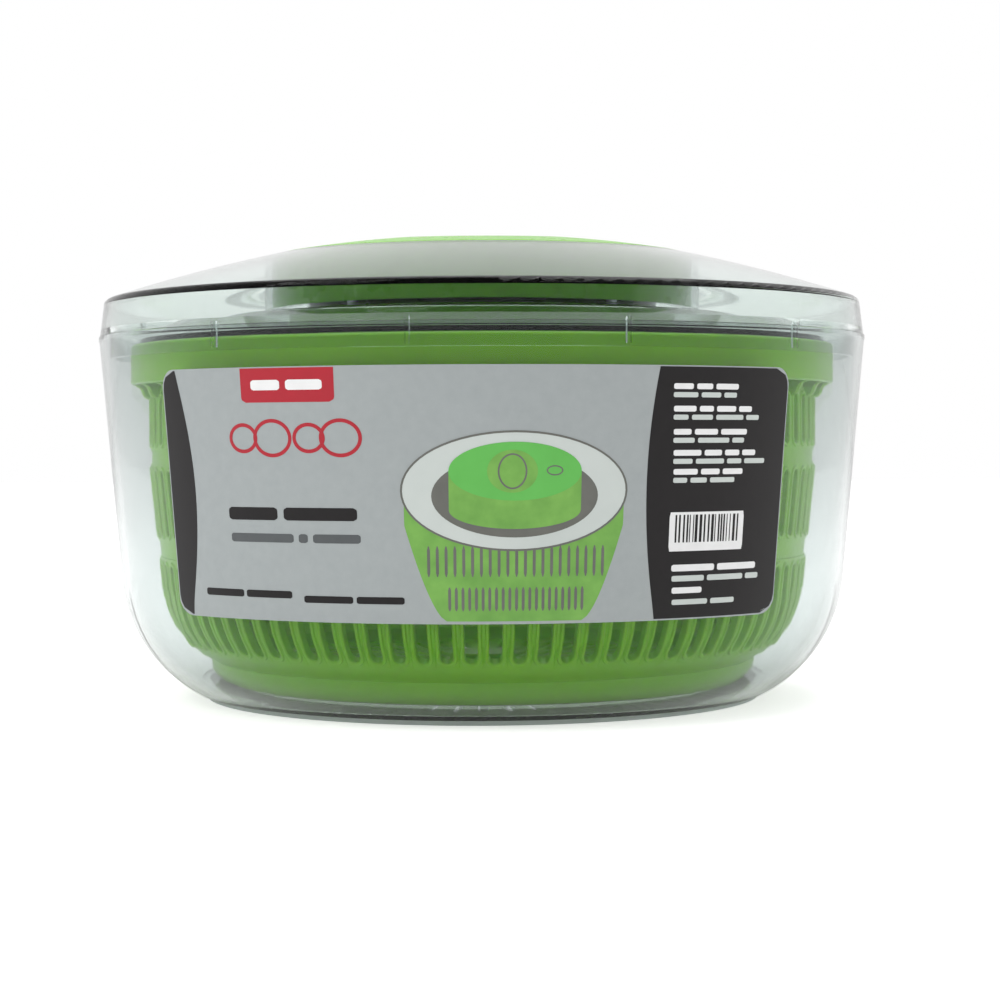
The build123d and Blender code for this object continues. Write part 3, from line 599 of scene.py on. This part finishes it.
def on_label(angle, z, lift):
    """Point on the label at degrees from the front and a height, off its face by a lift."""
    turn = math.radians(angle)
    radius = bowl_face(z) + lift
    return radius * math.sin(turn), -radius * math.cos(turn), z


PRINT_THICK = 0.03
PRINT_SINK = 0.012       # each layer starts this far inside the one below
DEGREE = 2.16            # millimetres along the label in a degree


def layer_lifts(layer):
    """How far the under and upper faces of a print layer stand off the bowl."""
    return LABEL_FACE + PRINT_THICK * layer - PRINT_SINK, LABEL_FACE + PRINT_THICK * (layer + 1)


def patch(name, grid, layer, finish):
    """A thin closed sheet over the label, from rows of (angle, height) points."""
    low_lift, top_lift = layer_lifts(layer)
    rows, columns = len(grid), len(grid[0])
    points = [on_label(a, z, top_lift) for row in grid for a, z in row]
    points += [on_label(a, z, low_lift) for row in grid for a, z in row]
    faces = []
    under = rows * columns
    for row in range(rows - 1):
        for column in range(columns - 1):
            first = row * columns + column
            quad = (first, first + 1, first + 1 + columns, first + columns)
            faces.append(quad)
            faces.append(tuple(under + corner for corner in reversed(quad)))
    border = list(range(columns))
    border += [row * columns + columns - 1 for row in range(1, rows)]
    border += [(rows - 1) * columns + column for column in range(columns - 2, -1, -1)]
    border += [row * columns for row in range(rows - 2, 0, -1)]
    for here, there in zip(border, border[1:] + border[:1]):
        faces.append((here, under + here, under + there, there))
    return piece(name, points, faces, "bowl", finish)


def between(name, low_z, high_z, left, right, layer, finish, rows=24):
    """A patch whose left and right edges are angles that vary with height."""
    middle_z = (low_z + high_z) / 2
    columns = max(2, math.ceil(right(middle_z) - left(middle_z)))
    grid = []
    for row in range(rows + 1):
        z = low_z + (high_z - low_z) * row / rows
        first, last = left(z), right(z)
        grid.append([(first + (last - first) * c / columns, z) for c in range(columns + 1)])
    return patch(name, grid, layer, finish)


def rounded(edge, low_z, high_z, radius, side, low_round=True, high_round=True):
    """An edge angle drawn in near the top and bottom, so that the corners are round."""
    def at(z):
        depth = 0.0
        if low_round and z - low_z < radius:
            depth = radius - (z - low_z)
        if high_round and high_z - z < radius:
            depth = radius - (high_z - z)
        inset = radius - math.sqrt(max(radius ** 2 - depth ** 2, 0.0))
        return (edge(z) if callable(edge) else edge) - side * inset / DEGREE
    return at


def bar(name, left, right, low_z, high_z, layer, finish, radius=None):
    """A round-cornered rectangle printed on the label."""
    corner = (high_z - low_z) * 0.3 if radius is None else radius
    corner = min(corner, (high_z - low_z) / 2, (right - left) * DEGREE / 2)
    return between(
        name, low_z, high_z,
        rounded(left, low_z, high_z, corner, -1), rounded(right, low_z, high_z, corner, 1),
        layer, finish, rows=8,
    )


def ellipse(angle, z, half_width, half_height, steps):
    """Points (angle, height) round an ellipse whose half sizes are millimetres."""
    turns = [2 * math.pi * step / steps for step in range(steps)]
    return [
        (angle + half_width * math.cos(turn) / DEGREE, z + half_height * math.sin(turn))
        for turn in turns
    ]


def oval(name, angle, z, half_width, half_height, layer, finish, steps=64):
    """An oval print, from its middle outwards and back underneath."""
    low_lift, top_lift = layer_lifts(layer)
    rings = max(2, math.ceil(half_width / DEGREE))
    outlines = [
        ellipse(angle, z, ring / rings * half_width, ring / rings * half_height, steps)
        for ring in range(rings + 1)
    ]
    shape = Shape()
    loops = [[on_label(a, h, top_lift) for a, h in outline] for outline in outlines]
    loops += [[on_label(a, h, low_lift) for a, h in outline] for outline in reversed(outlines)]
    shape.loops(loops)
    return piece(name, shape.points, shape.faces, "bowl", finish)


def ring_print(name, angle, z, half_width, half_height, stroke, layer, finish, steps=64):
    """An oval line, open in the middle."""
    low_lift, top_lift = layer_lifts(layer)
    shape = Shape()
    loops = []
    for shrink, lift in ((0, low_lift), (0, top_lift), (stroke, top_lift), (stroke, low_lift)):
        outline = ellipse(angle, z, half_width - shrink, half_height - shrink, steps)
        loops.append([on_label(a, h, lift) for a, h in outline])
    shape.loops(loops, loops_close=True)
    return piece(name, shape.points, shape.faces, "bowl", finish)


def words(name, left, low_z, high_z, lengths, layer, finish, gap=0.55):
    """A line of word-like bars, one for each length in degrees."""
    start = left
    for index, length in enumerate(lengths):
        bar(f"{name}_{index}", start, start + length, low_z, high_z, layer, finish)
        start += length + gap


def build_label():
    """Black side panels, red tab, bars in place of the words, and a small picture."""
    low, high = LABEL_LOW_Z + 0.4, LABEL_HIGH_Z - 0.4
    corner = 5.6

    def left_inner(z):
        return -46.6 + 2.7 * math.sin(math.pi * (high - z) / (high - low))

    def right_inner(z):
        return 22.4 + 1.9 * (abs(z - 74) / 40) ** 2

    between(
        "label_left_panel", low, high,
        rounded(LABEL_LEFT + 0.2, low, high, corner, -1), left_inner, 0, print_black,
        rows=40,
    )
    between(
        "label_right_panel", low, high, right_inner,
        rounded(LABEL_RIGHT - 0.2, low, high, corner, 1), 0, print_black, rows=40,
    )
    tab_low = 98.0
    between(
        "label_tab", tab_low, high,
        rounded(-33.9, tab_low, high, 1.6, -1, high_round=False),
        rounded(-19.6, tab_low, high, 1.6, 1, high_round=False), 0, print_red,
        rows=14,
    )
    words("tab_bar", -32.2, 101.6, 104.6, (4.6, 5.4), 1, print_white, 0.9)
    for index, (turn, size) in enumerate(((-34.0, 5.2), (-29.2, 6.6), (-23.6, 5.2), (-19.0, 6.6))):
        ring_print(f"swirl_{index}", turn, 87.5, size, size * 0.86, 1.1, 0, print_red, steps=48)
    words("name_bar", -37.4, 63.2, 67.0, (8.4, 11.0), 0, print_black, 1.0)
    words("second_bar", -37.2, 56.6, 59.2, (10.6, 1.4, 7.0), 0, print_grey, 0.8)
    words("foot_bar", -43.0, 40.0, 42.2, (7.4, 7.8), 0, print_black, 0.5)
    words("foot_bar_b", -25.4, 38.9, 41.0, (7.4, 6.8), 0, print_black, 0.5)
    build_right_panel()
    build_picture()


def build_right_panel():
    """Paired lines of word-like bars, a field of stripes and two more lines."""
    dice = random.Random(7)
    for index, top_z in enumerate((103.2, 96.6, 89.8, 83.6, 78.0)):
        start = 25.9 + 0.12 * index
        first = [round(dice.uniform(2.2, 4.8), 2) for _ in range(4)]
        second = [round(dice.uniform(2.0, 5.4), 2) for _ in range(3 + index % 2)]
        words(f"line_{index}_a", start, top_z - 1.7, top_z, first[:3 + index % 2], 1, print_white)
        words(f"line_{index}_b", start, top_z - 4.1, top_z - 2.6, second, 1, print_pale)
    bar("stripe_field", 26.1, 38.9, 53.6, 65.2, 1, print_white, 0.3)
    place = 27.0
    index = 0
    while place < 37.6:
        width = dice.choice((0.16, 0.28, 0.44))
        bar(f"stripe_{index}", place, place + width, 56.2, 64.4, 2, print_black, 0.02)
        place += width + dice.choice((0.18, 0.3, 0.42))
        index += 1
    words("origin_a", 26.7, 47.6, 49.6, (7.2, 7.4), 1, print_white)
    words("origin_b", 26.8, 44.6, 46.3, (5.4, 6.6, 2.6), 1, print_pale)
    words("origin_c", 26.9, 41.0, 42.8, (5.0,), 1, print_white)
    words("origin_d", 27.0, 37.6, 39.2, (6.0, 4.4), 1, print_pale)


def build_picture():
    """A small picture of a spinner seen from above and in front, in flat printed shapes."""
    middle, rim_z, rim_half, rim_rise = 4.3, 72.0, 33.0, 17.5
    foot_z, foot_half, shoulder_z = 34.0, 20.0, 62.0

    def half_at(z):
        share = min(max((z - foot_z) / (shoulder_z - foot_z), 0.0), 1.0)
        return foot_half + (rim_half - 1.0 - foot_half) * math.sqrt(share) ** 1.3

    between(
        "picture_body", foot_z, rim_z, lambda z: middle - half_at(z) / DEGREE,
        lambda z: middle + half_at(z) / DEGREE, 0, print_leaf, rows=30,
    )
    for tier, (low, high, reach) in enumerate(((37.0, 44.0, 19.5), (47.0, 56.0, 25.5))):
        count = 21
        for index in range(count):
            turn = middle + (2 * index / (count - 1) - 1) * reach / DEGREE
            bar(f"picture_slot_{tier}_{index}", turn, turn + 0.4, low, high, 1, print_shade, 0.3)
    oval("picture_rim", middle, rim_z, rim_half, rim_rise, 2, print_pale)
    ring_print("picture_rim_line", middle, rim_z, rim_half, rim_rise, 0.6, 3, print_shade)
    oval("picture_well", middle, rim_z - 1.5, 24.0, 12.0, 3, print_shade)
    dome_z, dome_half, dome_rise, drum_z = 77.7, 19.0, 8.5, 66.5
    oval("picture_drum_low", middle, drum_z, dome_half, 5.5, 4, print_leaf)
    between(
        "picture_drum", drum_z, dome_z, lambda z: middle - dome_half / DEGREE,
        lambda z: middle + dome_half / DEGREE, 5, print_leaf, rows=3,
    )
    oval("picture_dome", middle, dome_z, dome_half, dome_rise, 6, print_dome)
    oval("picture_recess", middle - 0.4, dome_z, 7.2, 6.2, 7, print_leaf)
    ring_print("picture_grip", middle - 0.4, dome_z, 4.2, 5.2, 0.5, 8, print_shade)
    ring_print("picture_button", middle + 5.2, dome_z + 0.2, 2.4, 1.5, 0.4, 7, print_shade)


build_label()


# ---- Stage, lights and camera --------------------------------------------------------------
def build_stage():
    """A plain pale floor, a soft surround and three large soft lights."""
    mesh = bpy.data.meshes.new("floor")
    reach = 4.0
    mesh.from_pydata(
        [(-reach, -reach, 0), (reach, -reach, 0), (reach, reach, 0), (-reach, reach, 0)], [],
        [(0, 1, 2, 3)],
    )
    floor = bpy.data.objects.new("floor", mesh)
    bpy.context.scene.collection.objects.link(floor)
    mesh.materials.append(floor_finish())
    world = bpy.data.worlds.new("surround")
    bpy.context.scene.world = world
    world.use_nodes = True
    surround_light(world)
    for name, place, size, power in (
        ("key", (-1.25, -0.95, 1.25), 1.1, 14.0),
        ("fill", (1.45, -0.85, 0.95), 1.0, 5.0),
        ("top", (0.0, 0.25, 1.6), 1.5, 12.0),
    ):
        lamp = bpy.data.lights.new(name, "AREA")
        lamp.size = size
        lamp.energy = power
        holder = bpy.data.objects.new(name, lamp)
        holder.location = place
        aim = Vector((0, 0, 0.07)) - Vector(place)
        holder.rotation_euler = aim.to_track_quat("-Z", "Y").to_euler()
        holder.visible_camera = False
        bpy.context.scene.collection.objects.link(holder)
    bpy.context.scene.view_settings.view_transform = "Standard"


def looked_at(nodes, links):
    """1 for a ray straight from the camera, less through clear plastic, 0 for other light."""
    path = nodes.new("ShaderNodeLightPath")
    through = nodes.new("ShaderNodeMath")
    through.operation = "MULTIPLY"
    links.new(path.outputs["Is Transmission Ray"], through.inputs[0])
    through.inputs[1].default_value = 0.75
    either = nodes.new("ShaderNodeMath")
    either.operation = "MAXIMUM"
    links.new(path.outputs["Is Camera Ray"], either.inputs[0])
    links.new(through.outputs["Value"], either.inputs[1])
    return either.outputs["Value"]


def floor_finish():
    """White sweep of a product studio: lit from above and, where it is looked at, from within."""
    finish = material(
        "floor_white", linear(236, 236, 236), linear(232, 232, 232), 40.0, (0.8, 0.9), 0.0,
        Emission_Color=(1.0, 1.0, 1.0, 1.0), Specular_IOR_Level=0.1,
    )
    nodes, links = finish.node_tree.nodes, finish.node_tree.links
    glow = nodes.new("ShaderNodeMapRange")
    glow.inputs["To Min"].default_value = 0.2
    glow.inputs["To Max"].default_value = 0.6
    links.new(looked_at(nodes, links), glow.inputs["Value"])
    links.new(glow.outputs["Result"], nodes["Principled BSDF"].inputs["Emission Strength"])
    return finish


def surround_light(world):
    """White where it is looked at, and otherwise a light that is dimmer in front of the object."""
    nodes, links = world.node_tree.nodes, world.node_tree.links
    background = nodes["Background"]
    background.inputs["Strength"].default_value = 1.0
    coords = nodes.new("ShaderNodeTexCoord")
    parts = nodes.new("ShaderNodeSeparateXYZ")
    links.new(coords.outputs["Generated"], parts.inputs["Vector"])
    ramp = nodes.new("ShaderNodeMapRange")
    ramp.interpolation_type = "SMOOTHSTEP"
    front_y, back_y, front_light, back_light = -0.55, 0.35, 0.4, 0.9
    ramp.inputs["From Min"].default_value = front_y
    ramp.inputs["From Max"].default_value = back_y
    ramp.inputs["To Min"].default_value = front_light
    ramp.inputs["To Max"].default_value = back_light
    links.new(parts.outputs["Y"], ramp.inputs["Value"])
    seen = nodes.new("ShaderNodeMath")
    seen.operation = "MAXIMUM"
    links.new(ramp.outputs["Result"], seen.inputs[0])
    links.new(looked_at(nodes, links), seen.inputs[1])
    links.new(seen.outputs["Value"], background.inputs["Color"])


def build_camera():
    """The camera in front of the label, a little above the middle of the bowl."""
    data = bpy.data.cameras.new("camera")
    data.sensor_width = 36.0
    data.lens = 80.29
    data.clip_start = 0.01
    camera = bpy.data.objects.new("camera", data)
    pitch, yaw, roll = math.radians(-1.513), math.radians(0.441), math.radians(-0.199)
    forward = Vector((
        math.sin(yaw) * math.cos(pitch), math.cos(yaw) * math.cos(pitch), math.sin(pitch)
    ))
    level = forward.cross(Vector((0, 0, 1))).normalized()
    upright = level.cross(forward)
    right = level * math.cos(roll) + upright * math.sin(roll)
    up = upright * math.cos(roll) - level * math.sin(roll)
    turned = Matrix((right, up, -forward)).transposed().to_4x4()
    camera.matrix_world = Matrix.Translation((0, -0.7693, 0.0864)) @ turned
    bpy.context.scene.collection.objects.link(camera)
    bpy.context.scene.camera = camera


build_stage()
build_camera()
